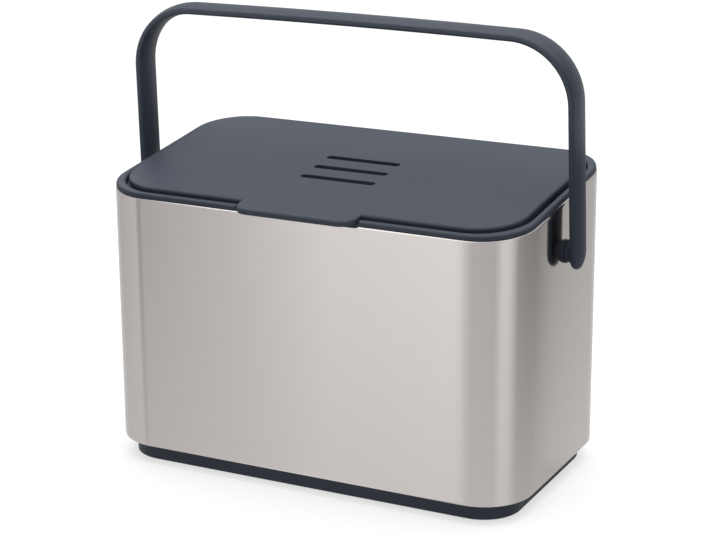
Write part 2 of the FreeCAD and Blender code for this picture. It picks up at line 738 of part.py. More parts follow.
def make_lid_seal():
    """The soft ring under the lid that meets the bucket's flange."""
    body = new_body("lid_seal")
    outer = f"({LID_INSET} + {size('seal_inset')})"
    flange_top = f"({size('bucket_flange')} - {size('ledge_depth')})"
    ring = new_sketch(body, "XY_Plane", "ring", LID_UNDERSIDE)
    mouth_outline(ring, outer)
    mouth_outline(ring, f"{outer} + {size('seal_width')}")
    add(body, ring, f"{LID_UNDERSIDE} - {flange_top} - {size('seal_gap')}", downwards=True)
    on_slope(body)
    return body


def filter_outline(sketch, inset):
    """The filter's round-cornered outline, moved in by an inset."""
    round_rectangle(sketch, f"{size('filter_length')} - 2 * ({inset})",
                    f"{size('filter_width')} - 2 * ({inset})", f"{size('filter_corner')} - ({inset})")


def under_slots(body):
    """Put a body that is drawn about the vent slots onto the slope, below them."""
    on_slope(body)
    body.setExpression("Placement.Base.y", f"0 - {size('slot_shift')} * cos({SLOPE})")
    body.setExpression("Placement.Base.z", f"{TOP_CENTRE} - {size('slot_shift')} * sin({SLOPE})")


def make_filter_frame():
    """The wall round the filter, fixed under the lid."""
    body = new_body("filter_frame")
    ring = new_sketch(body, "XY_Plane", "ring", LID_UNDERSIDE)
    filter_outline(ring, "0")
    filter_outline(ring, size("filter_frame_wall"))
    add(body, ring, size("filter_frame_height"), downwards=True)
    under_slots(body)
    return body


def make_carbon_filter():
    """The carbon pad, which lies on the cover with an air gap under the slots."""
    body = new_body("carbon_filter")
    pad = new_sketch(body, "XY_Plane", "pad", f"{LID_UNDERSIDE} - {size('filter_air_gap')}")
    filter_outline(pad, f"{size('filter_frame_wall')} + {size('filter_fit')}")
    add(body, pad, size("filter_pad"), downwards=True)
    under_slots(body)
    return body


def make_filter_cover():
    """The slotted plate that clips into the frame below the carbon pad."""
    body = new_body("filter_cover")
    level = f"({LID_UNDERSIDE} - {size('filter_air_gap')} - {size('filter_pad')})"
    plate = new_sketch(body, "XY_Plane", "plate", level)
    filter_outline(plate, f"{size('filter_frame_wall')} + {size('filter_fit')}")
    add(body, plate, size("filter_cover_plate"), downwards=True)
    slots = new_sketch(body, "XY_Plane", "slots", level)
    for step in (-2, -1, 0, 1, 2):
        slot_outline(slots, f"{step} * {size('cover_slot_pitch')} + 0", size("cover_slot_length"),
                     size("cover_slot_width"))
    cut(body, slots, size("filter_cover_plate"))
    under_slots(body)
    return body


def at_pivot(body, side, x):
    """Put a body that is drawn along X at a handle pivot, turned to face outwards on its side."""
    sign = SIDES[side]
    body.Placement = Placement(Vector(), Rotation(Z_AXIS, 90 - 90 * sign))
    body.setExpression("Placement.Base.x", f"{sign} * ({x})")
    body.setExpression("Placement.Base.z", PIVOT_HEIGHT)


def make_pivot_bush(side):
    """A flanged bush through the steel and the collar's ear, in which the stub axle turns."""
    body = new_body(f"pivot_bush_{side}")
    profile = new_sketch(body, "XY_Plane", "profile")
    inner = f"({size('axle_diameter')} / 2 + {size('running_clearance')})"
    outer = f"{size('bush_diameter')} / 2"
    flange = f"{size('bush_flange_diameter')} / 2"
    end = f"0 - ({size('body_width')} / 2 - {EAR_INNER})"
    polygon(profile, [(end, inner), (size("bush_flange"), inner), (size("bush_flange"), flange),
                      ("0", flange), ("0", outer), (end, outer)])
    spin(body, profile)
    at_pivot(body, side, f"{size('body_width')} / 2")
    return body


AXLE_END = f"({EAR_INNER} - {size('side_play')})"


def make_pivot_washer(side):
    """A washer on the axle's inner end, held by the screw."""
    body = new_body(f"pivot_washer_{side}")
    section = new_sketch(body, "YZ_Plane", "section")
    circle(section, "0", "0", size("washer_diameter"))
    circle(section, "0", "0", f"{size('screw_diameter')} + 2 * {size('seat_clearance')}")
    add(body, section, size("washer_thickness"), downwards=True)
    at_pivot(body, side, AXLE_END)
    return body


def make_pivot_screw(side):
    """A pan-head screw, driven from inside the casing into the stub axle."""
    body = new_body(f"pivot_screw_{side}")
    profile = new_sketch(body, "XY_Plane", "profile")
    shank = f"{size('screw_diameter')} / 2"
    head = f"{size('screw_head_diameter')} / 2"
    back = f"0 - {size('screw_head')}"
    polygon(profile, [(back, "0"), (size("screw_length"), "0"), (size("screw_length"), shank),
                      ("0", shank), ("0", head), (back, head)])
    spin(body, profile)
    at_pivot(body, side, f"{AXLE_END} - {size('washer_thickness')}")
    return body


def make_handle():
    """The handle: one oval band carried round a loop, with round feet, bosses and stub axles."""
    body = new_body("handle")
    path = new_sketch(body, "XZ_Plane", "path")
    handle_path(path)
    section = new_sketch(body, "XY_Plane", "section")
    band_outline(section)
    doc.recompute()
    band = body.newObject("PartDesign::AdditivePipe", "handle_band")
    band.Profile = section
    band.Spine = path
    doc.recompute()
    foot = new_sketch(body, "XY_Plane", "foot")
    half_band_outline(foot)
    features = [spin(body, foot, 180, backwards=True)]
    features += add_axle(body)
    mirror(body, features)
    body.Placement = Placement(Vector(), Rotation(X_AXIS, value(size("handle_lean"))))
    body.setExpression("Placement.Base.z", PIVOT_HEIGHT)
    body.setExpression("Placement.Rotation.Angle", size("handle_lean"))
    return body


def handle_path(sketch):
    """The loop's centre line: two arms that lean in, two round corners and a slightly bowed bar."""
    span = value(ARM_MIDDLE)
    height = value(size("handle_height"))
    corner = value(size("handle_corner"))
    bow = value(size("bar_bow_radius"))
    arm_top = height - corner
    right = line(sketch, (span, 0), (span, arm_top))
    turn_right = arc(sketch, Vector(span - corner, arm_top, 0), corner, 0, 90)
    bar = arc(sketch, Vector(0, height - bow, 0), bow, 89, 91)
    turn_left = arc(sketch, Vector(corner - span, arm_top, 0), corner, 90, 180)
    left = line(sketch, (-span, arm_top), (-span, 0))
    for before, after in ((right, turn_right), (turn_right, bar), (bar, turn_left), (turn_left, left)):
        constrain(sketch, "Tangent", before, 2, after, 1)
    pin_point(sketch, right, 1, ARM_MIDDLE, "0")
    constrain(sketch, "Symmetric", right, 1, left, 2, -2)
    constrain(sketch, "Symmetric", right, 2, left, 1, -2)
    constrain(sketch, "Angle", right, to=f"90 + {size('arm_incline')}")
    constrain(sketch, "Equal", turn_right, turn_left)
    constrain(sketch, "Radius", turn_right, to=size("handle_corner"))
    constrain(sketch, "Radius", bar, to=size("bar_bow_radius"))
    constrain(sketch, "DistanceY", -1, 1, bar, 3,
              to=f"{size('handle_height')} - {size('bar_bow_radius')}")


BAND_REACH = f"({size('handle_band')} / 2 - {size('handle_edge')})"
BAND_CROWN = (f"(({BAND_REACH} ^ 2 + ({size('handle_thickness')} / 2) ^ 2 - {size('handle_edge')} ^ 2)"
              f" / ({size('handle_thickness')} - 2 * {size('handle_edge')}))")


def band_arcs(sketch, low, high):
    """Guesses for the band's two wide arcs between two shares of their angle, and its rear end arc."""
    middle = value(ARM_MIDDLE)
    edge = value(size("handle_edge"))
    reach = value(BAND_REACH)
    crown = value(BAND_CROWN)
    offset = crown - value(size("handle_thickness")) / 2
    turn = math.degrees(math.asin(reach / (crown - edge)))
    outside = arc(sketch, Vector(middle - offset, 0, 0), crown, low * turn, high * turn)
    rear = arc(sketch, Vector(middle, reach, 0), edge, turn, 180 - turn)
    inside = arc(sketch, Vector(middle + offset, 0, 0), crown, 180 - high * turn, 180 - low * turn)
    constrain(sketch, "Tangent", outside, 2, rear, 1)
    constrain(sketch, "Tangent", rear, 2, inside, 1)
    constrain(sketch, "Equal", outside, inside)
    constrain(sketch, "Radius", outside, to=BAND_CROWN)
    constrain(sketch, "Radius", rear, to=size("handle_edge"))
    pin_point(sketch, rear, 3, ARM_MIDDLE, BAND_REACH)
    return outside, rear, inside, turn


def band_outline(sketch):
    """The band's section at the right pivot: an oval of two wide arcs and two tight end arcs."""
    outside, rear, inside, turn = band_arcs(sketch, -1, 1)
    place = Vector(value(ARM_MIDDLE), 0 - value(BAND_REACH), 0)
    front = arc(sketch, place, value(size("handle_edge")), 180 + turn, 360 - turn)
    constrain(sketch, "Tangent", inside, 2, front, 1)
    constrain(sketch, "Tangent", front, 2, outside, 1)
    constrain(sketch, "Equal", rear, front)
    constrain(sketch, "Symmetric", rear, 3, front, 3, -1)


def half_band_outline(sketch):
    """Half of the band's section, to be turned about the pivot into a round foot."""
    outside, rear, inside, turn = band_arcs(sketch, 0, 1)
    middle = value(ARM_MIDDLE)
    half = value(size("handle_thickness")) / 2
    axis = line(sketch, (middle + half, 0), (middle - half, 0))
    constrain(sketch, "Coincident", inside, 2, axis, 2)
    constrain(sketch, "Coincident", axis, 1, outside, 1)
    for curve, end in ((outside, 3), (inside, 3), (axis, 1), (axis, 2)):
        constrain(sketch, "PointOnObject", curve, end, -1)


def add_axle(body):
    """A boss inside the right foot and the stub axle beyond it, with the screw's hole."""
    shoulder = f"({size('body_width')} / 2 + {size('bush_flange')} + {size('side_play')})"
    features = []
    for name, diameter, start in (("boss", size("boss_diameter"), shoulder),
                                  ("axle", size("axle_diameter"), AXLE_END)):
        disc = new_sketch(body, "YZ_Plane", name, start)
        circle(disc, "0", "0", diameter)
        features.append(add(body, disc, f"{ARM_MIDDLE} - {start}"))
    hole = new_sketch(body, "YZ_Plane", "screw_hole", AXLE_END)
    circle(hole, "0", "0", f"{size('screw_diameter')} + 2 * {size('seat_clearance')}")
    features.append(cut(body, hole, size("screw_length"), upwards=True))
    return features


def mirror(body, features):
    """Repeat features of a body on its other side."""
    planes = {feature.Role: feature for feature in body.Origin.OriginFeatures}
    mirrored = body.newObject("PartDesign::Mirrored", f"{body.Name}_mirrored")
    mirrored.Originals = features
    mirrored.MirrorPlane = (planes["YZ_Plane"], [""])
    body.Tip = mirrored
    return computed(mirrored)


def make_parts():
    """Every sub-part, in the order in which the bin goes together."""
    parts = [make_steel_sleeve(), make_base_plinth()]
    parts += [make_foot(corner) for corner in FEET]
    parts += [make_top_collar(), make_inner_bucket(), make_handle()]
    for side in SIDES:
        parts += [make_pivot_bush(side), make_pivot_washer(side), make_pivot_screw(side),
                  make_hinge_pin(side)]
    parts += [make_lid_panel(), make_lid_seal(), make_filter_frame(), make_carbon_filter(),
              make_filter_cover()]
    return parts


def check(parts):
    """Stop if any object failed to compute or any sub-part is not one sound solid."""
    doc.recompute()
    for item in doc.Objects:
        if "Invalid" in item.State or "Error" in item.State:
            raise RuntimeError(f"{item.Label} failed: {item.State}")
    for part in parts:
        if part.Shape.isNull() or not part.Shape.isValid() or len(part.Shape.Solids) != 1:
            raise RuntimeError(f"{part.Label} is not one sound solid")


def write(parts):
    """Write each sub-part to a file of its own name."""
    os.makedirs("parts", exist_ok=True)
    for part in parts:
        part.Shape.exportStep(f"parts/{part.Label}.step")


parts = make_parts()
check(parts)
write(parts)
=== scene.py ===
"""Looks for the compost bin: finishes for its pieces, the felt filter pad and a plain photo studio."""

import json
import math

import bpy
import numpy as np
from mathutils import Matrix, Vector


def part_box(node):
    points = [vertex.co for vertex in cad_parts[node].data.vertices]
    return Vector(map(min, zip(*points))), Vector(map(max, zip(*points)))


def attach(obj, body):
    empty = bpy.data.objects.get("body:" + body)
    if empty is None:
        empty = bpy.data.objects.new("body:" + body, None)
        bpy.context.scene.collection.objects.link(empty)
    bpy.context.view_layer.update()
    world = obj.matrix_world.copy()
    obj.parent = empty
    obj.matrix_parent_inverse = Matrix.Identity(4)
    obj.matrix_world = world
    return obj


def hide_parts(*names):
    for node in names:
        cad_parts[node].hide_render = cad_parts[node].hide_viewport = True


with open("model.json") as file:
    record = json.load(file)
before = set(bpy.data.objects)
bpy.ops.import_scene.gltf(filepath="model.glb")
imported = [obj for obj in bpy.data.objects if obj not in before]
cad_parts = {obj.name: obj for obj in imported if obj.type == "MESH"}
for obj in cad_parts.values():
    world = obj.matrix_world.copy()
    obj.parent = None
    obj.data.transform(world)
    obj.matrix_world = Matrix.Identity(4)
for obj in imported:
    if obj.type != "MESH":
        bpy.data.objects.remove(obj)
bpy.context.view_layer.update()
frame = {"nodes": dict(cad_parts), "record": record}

LID_SLOPE_DEGREES = 6.2
PLASTIC_SHEEN = 0.25
GRAIN_HEIGHT = 0.0001
BRUSH_HEIGHT = 0.00005
BRUSH_DEPTH = 0.02
WALL_HALF_X = 0.165
WALL_HALF_Y = 0.11


def add_node(tree, kind, place, **settings):
    """A shader node at a place on the sheet; a setting named like an input socket fills that socket."""
    made = tree.nodes.new(kind)
    made.location = place
    for name, value in settings.items():
        if hasattr(made, name):
            setattr(made, name, value)
        else:
            made.inputs[name.replace("_", " ")].default_value = value
    return made


def new_group(name, inputs, outputs):
    """A shader group whose sockets are given as (kind, name, value) and (kind, name)."""
    group = bpy.data.node_groups.new(name, "ShaderNodeTree")
    for kind, label, value in inputs:
        socket = group.interface.new_socket(name=label, in_out="INPUT", socket_type=kind)
        socket.default_value = value
    for kind, label in outputs:
        group.interface.new_socket(name=label, in_out="OUTPUT", socket_type=kind)
    start = add_node(group, "NodeGroupInput", (-900, 0))
    end = add_node(group, "NodeGroupOutput", (700, 0))
    return group, start, end


FINISH_OUTPUTS = [
    ("NodeSocketColor", "Colour"),
    ("NodeSocketFloat", "Roughness"),
    ("NodeSocketFloat", "Height"),
]


def moulded_grain():
    """Spark-eroded mould texture: fine grain in the height, faint wide clouds in colour and gloss."""
    inputs = [
        ("NodeSocketColor", "Colour", (0.05, 0.05, 0.05, 1.0)),
        ("NodeSocketColor", "Cloud", (0.06, 0.06, 0.06, 1.0)),
        ("NodeSocketFloat", "Grain", 1800.0),
        ("NodeSocketFloat", "Gloss low", 0.4),
        ("NodeSocketFloat", "Gloss high", 0.5),
    ]
    speck_share = 0.35
    group, start, end = new_group("moulded_grain", inputs, FINISH_OUTPUTS)
    where = add_node(group, "ShaderNodeTexCoord", (-900, 300))
    grain = add_node(group, "ShaderNodeTexNoise", (-600, 200), Detail=2.0, Roughness=0.6)
    cloud = add_node(group, "ShaderNodeTexNoise", (-600, -100), Scale=14.0, Detail=3.0)
    speck = add_node(group, "ShaderNodeTexNoise", (-600, -400), Scale=650.0, Detail=1.0)
    mixed = add_node(group, "ShaderNodeMix", (-100, 100), data_type="RGBA")
    tint = add_node(group, "ShaderNodeMath", (-350, -150), operation="MULTIPLY_ADD")
    tint.inputs[1].default_value = speck_share
    gloss = add_node(group, "ShaderNodeMapRange", (100, -200), From_Min=0.3, From_Max=0.7)
    wire = group.links.new
    wire(where.outputs["Object"], grain.inputs["Vector"])
    wire(where.outputs["Object"], cloud.inputs["Vector"])
    wire(where.outputs["Object"], speck.inputs["Vector"])
    wire(start.outputs["Grain"], grain.inputs["Scale"])
    wire(speck.outputs["Fac"], tint.inputs[0])
    wire(cloud.outputs["Fac"], tint.inputs[2])
    wire(tint.outputs["Value"], mixed.inputs["Factor"])
    wire(start.outputs["Colour"], mixed.inputs["A"])
    wire(start.outputs["Cloud"], mixed.inputs["B"])
    wire(cloud.outputs["Fac"], gloss.inputs["Value"])
    wire(start.outputs["Gloss low"], gloss.inputs["To Min"])
    wire(start.outputs["Gloss high"], gloss.inputs["To Max"])
    wire(mixed.outputs["Result"], end.inputs["Colour"])
    wire(gloss.outputs["Result"], end.inputs["Roughness"])
    wire(grain.outputs["Fac"], end.inputs["Height"])
    return group


def brushed_lines():
    """Brushing marks at two widths: noise drawn out along the brush and packed tight across it."""
    inputs = [
        ("NodeSocketColor", "Colour", (0.6, 0.6, 0.6, 1.0)),
        ("NodeSocketColor", "Mark", (0.5, 0.5, 0.5, 1.0)),
        ("NodeSocketVector", "Packing", (8.0, 8.0, 1500.0)),
        ("NodeSocketFloat", "Gloss low", 0.25),
        ("NodeSocketFloat", "Gloss high", 0.38),
    ]
    broad_share = 0.5
    group, start, end = new_group("brushed_lines", inputs, FINISH_OUTPUTS)
    where = add_node(group, "ShaderNodeTexCoord", (-1100, 300))
    packed = add_node(group, "ShaderNodeVectorMath", (-850, 200), operation="MULTIPLY")
    wider = add_node(group, "ShaderNodeVectorMath", (-700, 0), operation="SCALE", Scale=0.3)
    fine = add_node(group, "ShaderNodeTexNoise", (-500, 200), Scale=1.0, Detail=3.0, Roughness=0.7)
    broad = add_node(group, "ShaderNodeTexNoise", (-500, -100), Scale=1.0, Detail=2.0)
    marks = add_node(group, "ShaderNodeMath", (-250, 100), operation="MULTIPLY_ADD")
    marks.inputs[1].default_value = broad_share
    spread = add_node(group, "ShaderNodeMapRange", (-50, 100), From_Min=0.5, From_Max=1.0)
    mixed = add_node(group, "ShaderNodeMix", (200, 150), data_type="RGBA")
    gloss = add_node(group, "ShaderNodeMapRange", (200, -150))
    wire = group.links.new
    wire(where.outputs["Object"], packed.inputs[0])
    wire(start.outputs["Packing"], packed.inputs[1])
    wire(packed.outputs["Vector"], wider.inputs[0])
    wire(packed.outputs["Vector"], fine.inputs["Vector"])
    wire(wider.outputs["Vector"], broad.inputs["Vector"])
    wire(broad.outputs["Fac"], marks.inputs[0])
    wire(fine.outputs["Fac"], marks.inputs[2])
    wire(marks.outputs["Value"], spread.inputs["Value"])
    wire(spread.outputs["Result"], mixed.inputs["Factor"])
    wire(start.outputs["Colour"], mixed.inputs["A"])
    wire(start.outputs["Mark"], mixed.inputs["B"])
    wire(spread.outputs["Result"], gloss.inputs["Value"])
    wire(start.outputs["Gloss low"], gloss.inputs["To Min"])
    wire(start.outputs["Gloss high"], gloss.inputs["To Max"])
    wire(mixed.outputs["Result"], end.inputs["Colour"])
    wire(gloss.outputs["Result"], end.inputs["Roughness"])
    wire(fine.outputs["Fac"], end.inputs["Height"])
    return group


GRAIN = moulded_grain()
BRUSH = brushed_lines()


def bare_material(name):
    """A material with nothing on its sheet but the output."""
    finish = bpy.data.materials.new(name)
    finish.use_nodes = True
    tree = finish.node_tree
    tree.nodes.clear()
    output = add_node(tree, "ShaderNodeOutputMaterial", (650, 0))
    return finish, tree, output


def new_finish(name):
    """A material with a Principled shader wired to its output."""
    finish, tree, output = bare_material(name)
    shader = add_node(tree, "ShaderNodeBsdfPrincipled", (300, 0))
    tree.links.new(shader.outputs["BSDF"], output.inputs["Surface"])
    return finish, tree, shader


def use_group(tree, shader, group, values, depth, distance):
    """Places a group with its own values, wires it to the shader and returns the bump on its height."""
    made = add_node(tree, "ShaderNodeGroup", (-300, 0), node_tree=group)
    for name, value in values.items():
        made.inputs[name].default_value = value
    bump = add_node(tree, "ShaderNodeBump", (0, -250), Strength=depth, Distance=distance)
    tree.links.new(made.outputs["Colour"], shader.inputs["Base Color"])
    tree.links.new(made.outputs["Roughness"], shader.inputs["Roughness"])
    tree.links.new(made.outputs["Height"], bump.inputs["Height"])
    tree.links.new(bump.outputs["Normal"], shader.inputs["Normal"])
    return bump


def plastic(name, colour, cloud, grain, gloss, depth):
    """Moulded plastic or rubber with a spark-eroded grain and a weak sheen."""
    finish, tree, shader = new_finish(name)
    values = {
        "Colour": colour,
        "Cloud": cloud,
        "Grain": grain,
        "Gloss low": gloss[0],
        "Gloss high": gloss[1],
    }
    use_group(tree, shader, GRAIN, values, depth, GRAIN_HEIGHT)
    shader.inputs["Specular IOR Level"].default_value = PLASTIC_SHEEN
    return finish


def steel(name, colour, mark, packing, gloss, stretch):
    """Brushed steel: the brush runs round the casing, so the highlights stretch up and down it."""
    finish, tree, shader = new_finish(name)
    values = {
        "Colour": colour,
        "Mark": mark,
        "Packing": packing,
        "Gloss low": gloss[0],
        "Gloss high": gloss[1],
    }
    bump = use_group(tree, shader, BRUSH, values, BRUSH_DEPTH, BRUSH_HEIGHT)
    shader.inputs["Metallic"].default_value = 1.0
    shader.inputs["Anisotropic"].default_value = stretch
    shader.inputs["Anisotropic Rotation"].default_value = 0.25
    along = add_node(tree, "ShaderNodeTangent", (0, -450), direction_type="RADIAL", axis="Z")
    tree.links.new(along.outputs["Tangent"], shader.inputs["Tangent"])
    return finish, tree, bump


def crown_sheet(tree, lines, across, deep):
    """Sheet steel that stands a touch proud in the middle of each flat, under the brushed lines.

    The height is minus across times x squared minus deep times y squared, in metres.
    """
    where = add_node(tree, "ShaderNodeTexCoord", (-1100, -500))
    split = add_node(tree, "ShaderNodeSeparateXYZ", (-900, -500))
    square_x = add_node(tree, "ShaderNodeMath", (-700, -400), operation="MULTIPLY")
    square_y = add_node(tree, "ShaderNodeMath", (-700, -600), operation="MULTIPLY")
    part_x = add_node(tree, "ShaderNodeMath", (-500, -400), operation="MULTIPLY")
    part_x.inputs[1].default_value = -across
    part_y = add_node(tree, "ShaderNodeMath", (-500, -600), operation="MULTIPLY_ADD")
    part_y.inputs[1].default_value = -deep
    crown = add_node(tree, "ShaderNodeBump", (-250, -500), Strength=1.0, Distance=1.0)
    wire = tree.links.new
    wire(where.outputs["Object"], split.inputs["Vector"])
    wire(split.outputs["X"], square_x.inputs[0])
    wire(split.outputs["X"], square_x.inputs[1])
    wire(split.outputs["Y"], square_y.inputs[0])
    wire(split.outputs["Y"], square_y.inputs[1])
    wire(square_x.outputs["Value"], part_x.inputs[0])
    wire(square_y.outputs["Value"], part_y.inputs[0])
    wire(part_x.outputs["Value"], part_y.inputs[2])
    wire(part_y.outputs["Value"], crown.inputs["Height"])
    wire(crown.outputs["Normal"], lines.inputs["Normal"])


SLATE = plastic(
    "slate_plastic", (0.0335, 0.042, 0.0625, 1), (0.0375, 0.047, 0.0685, 1),
    grain=1800.0, gloss=(0.46, 0.54), depth=0.15,
)
# Painted light: the base is the same slate plastic as the lid, made lighter to stand in for the floor's
# bounce light it gets too little of.
SLATE_LIGHTENED_FOR_BASE = plastic(
    "base_plastic", (0.040, 0.050, 0.070, 1), (0.044, 0.055, 0.076, 1),
    grain=1600.0, gloss=(0.46, 0.54), depth=0.15,
)
BUCKET = plastic(
    "bucket_plastic", (0.075, 0.08, 0.085, 1), (0.085, 0.09, 0.095, 1),
    grain=1200.0, gloss=(0.5, 0.6), depth=0.2,
)
FOOT = plastic(
    "foot_rubber", (0.018, 0.018, 0.019, 1), (0.026, 0.026, 0.027, 1),
    grain=900.0, gloss=(0.75, 0.9), depth=0.3,
)
SEAL = plastic(
    "seal_rubber", (0.022, 0.023, 0.025, 1), (0.03, 0.031, 0.033, 1),
    grain=1100.0, gloss=(0.65, 0.8), depth=0.2,
)
CASING, casing_tree, casing_lines = steel(
    "brushed_steel", (0.69, 0.65, 0.63, 1), (0.65, 0.61, 0.59, 1),
    packing=(6, 6, 5200), gloss=(0.08, 0.12), stretch=1.0,
)
crown_sheet(casing_tree, casing_lines, across=0.175, deep=0.52)
PLATED = steel(
    "plated_steel", (0.56, 0.56, 0.55, 1), (0.48, 0.48, 0.47, 1),
    packing=(900, 900, 900), gloss=(0.25, 0.4), stretch=0.0,
)[0]


def felt():
    """Carbon felt: crossing fibres, pale flecks as a painted highlight where the raised fibres would
    catch light, a soft bloom at the edges.
    """
    along_fibre, across_fibre = 500.0, 3200.0
    # The pale second shade is a painted highlight on the raised fibres; the dark first shade is the
    # felt's own colour.
    shades = [(0.42, (0.010, 0.010, 0.011, 1)), (0.75, (0.040, 0.040, 0.042, 1))]
    finish, tree, shader = new_finish("carbon_felt")
    where = add_node(tree, "ShaderNodeTexCoord", (-1300, 0))
    bend = add_node(tree, "ShaderNodeTexNoise", (-1100, -250), Scale=160.0, Detail=2.0)
    sway = add_node(tree, "ShaderNodeVectorMath", (-900, -250), operation="SCALE", Scale=0.004)
    moved = add_node(tree, "ShaderNodeVectorMath", (-700, -100), operation="ADD")
    lengthwise = add_node(tree, "ShaderNodeVectorMath", (-500, 100), operation="MULTIPLY")
    lengthwise.inputs[1].default_value = (along_fibre, across_fibre, across_fibre)
    crosswise = add_node(tree, "ShaderNodeVectorMath", (-500, -150), operation="MULTIPLY")
    crosswise.inputs[1].default_value = (across_fibre, along_fibre, across_fibre)
    first = add_node(tree, "ShaderNodeTexNoise", (-300, 100), Scale=1.0, Detail=2.0)
    second = add_node(tree, "ShaderNodeTexNoise", (-300, -150), Scale=1.0, Detail=2.0)
    fibres = add_node(tree, "ShaderNodeMath", (-100, 0), operation="MAXIMUM")
    shade = add_node(tree, "ShaderNodeValToRGB", (60, 150))
    for stop, (position, colour) in zip(shade.color_ramp.elements, shades):
        stop.position = position
        stop.color = colour
    rough = add_node(tree, "ShaderNodeMapRange", (60, -80), To_Min=0.85, To_Max=1.0)
    bump = add_node(tree, "ShaderNodeBump", (60, -350), Strength=0.6, Distance=0.0004)
    shader.inputs["Sheen Weight"].default_value = 0.3
    shader.inputs["Specular IOR Level"].default_value = 0.1
    wire = tree.links.new
    wire(where.outputs["Object"], bend.inputs["Vector"])
    wire(bend.outputs["Color"], sway.inputs[0])
    wire(where.outputs["Object"], moved.inputs[0])
    wire(sway.outputs["Vector"], moved.inputs[1])
    wire(moved.outputs["Vector"], lengthwise.inputs[0])
    wire(moved.outputs["Vector"], crosswise.inputs[0])
    wire(lengthwise.outputs["Vector"], first.inputs["Vector"])
    wire(crosswise.outputs["Vector"], second.inputs["Vector"])
    wire(first.outputs["Fac"], fibres.inputs[0])
    wire(second.outputs["Fac"], fibres.inputs[1])
    wire(fibres.outputs["Value"], shade.inputs["Fac"])
    wire(fibres.outputs["Value"], rough.inputs["Value"])
    wire(fibres.outputs["Value"], bump.inputs["Height"])
    wire(shade.outputs["Color"], shader.inputs["Base Color"])
    wire(rough.outputs["Result"], shader.inputs["Roughness"])
    wire(bump.outputs["Normal"], shader.inputs["Normal"])
    return finish


FELT = felt()

FINISHES = {
    "steel": CASING,
    "dark_plastic": SLATE,
    "base_plastic": SLATE_LIGHTENED_FOR_BASE,
    "bucket_plastic": BUCKET,
    "foot_rubber": FOOT,
    "seal_rubber": SEAL,
    "filter_felt": FELT,
    "fastener_steel": PLATED,
}


def dress_solids():
    """Gives every CAD piece the finish of its material slot."""
    for piece in frame["record"]["subparts"]:
        mesh = frame["nodes"][piece["node"]].data
        mesh.materials.clear()
        mesh.materials.append(FINISHES[piece["material_slot"]])


def surface(name, points, faces, finish):
    """A smooth-shaded object at the origin from arrays of points and faces."""
    mesh = bpy.data.meshes.new(name)
    mesh.from_pydata(points.tolist(), [], [face.tolist() for face in faces])
    mesh.polygons.foreach_set("use_smooth", np.ones(len(mesh.polygons), dtype=bool))
    mesh.materials.append(finish)
    made = bpy.data.objects.new(name, mesh)
    bpy.context.scene.collection.objects.link(made)
    return made


def rows_of_faces(rows, count):
    """Four-sided faces between neighbouring closed rows of points, wound so that they look outwards."""
    row, step = np.meshgrid(np.arange(rows - 1), np.arange(count), indexing="ij")
    following = (step + 1) % count
    lower = row * count
    upper = (row + 1) * count
    corners = [lower + step, lower + following, upper + following, upper + step]
    return np.stack(corners, axis=-1).reshape(-1, 4)


def swell(angle, power, wave):
    """A cosine or sine raised to a power that keeps its sign, so that a circle squares off."""
    turned = wave(angle)
    return np.sign(turned) * np.abs(turned) ** power


def lay_filter_pad():
    """The carbon pad, in the CAD pad's place under the vent slots.

    A round-cornered block in two angles: u goes round it and v from its lowest to its highest point.
    Length is cos(v)^0.16 cos(u)^0.2, width cos(v)^0.16 sin(u)^0.2 and height sin(v)^0.5, each times
    half the pad's size. Its faces are quilted by a low wave, and it is tilted to the lid's slope.
    """
    rim_power, corner_power, crown_power = 0.16, 0.2, 0.5
    quilt_depth, quilt_pitch = 0.05, 520.0
    thick = 0.0054
    rows, count = 41, 192
    low, high = (np.array(corner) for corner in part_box("carbon_filter"))
    tilt = math.radians(LID_SLOPE_DEGREES)
    length, depth = high[0] - low[0], high[1] - low[1]
    width = (depth - thick * math.sin(tilt)) / math.cos(tilt)
    v = np.linspace(-np.pi / 2, np.pi / 2, rows)[1:-1, None]
    u = np.linspace(0, 2 * np.pi, count, endpoint=False)[None, :]
    across = length / 2 * swell(v, rim_power, np.cos) * swell(u, corner_power, np.cos)
    along = width / 2 * swell(v, rim_power, np.cos) * swell(u, corner_power, np.sin)
    quilt = 1.0 - quilt_depth * (1.0 + np.cos(across * quilt_pitch) * np.cos(along * quilt_pitch))
    lift = thick / 2 * swell(v, crown_power, np.sin) * quilt
    ring = np.stack([across, along, lift + 0 * u], axis=-1).reshape(-1, 3)
    pole = thick / 2 * (1.0 - 2 * quilt_depth)
    points = np.concatenate([ring, np.array([[0, 0, -pole], [0, 0, pole]])])
    x, y, z = points.T
    turned_y = y * math.cos(tilt) - z * math.sin(tilt)
    turned_z = y * math.sin(tilt) + z * math.cos(tilt)
    points = np.stack([x, turned_y, turned_z], axis=-1) + (low + high) / 2
    step = np.arange(count)
    following = (step + 1) % count
    last = (rows - 3) * count
    under = np.stack([following, step, np.full(count, len(ring))], axis=-1)
    over = np.stack([last + step, last + following, np.full(count, len(ring) + 1)], axis=-1)
    faces = list(rows_of_faces(rows - 2, count)) + list(under) + list(over)
    pad = surface("carbon_pad", points, faces, FELT)
    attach(pad, "lid")
    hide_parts("carbon_filter")


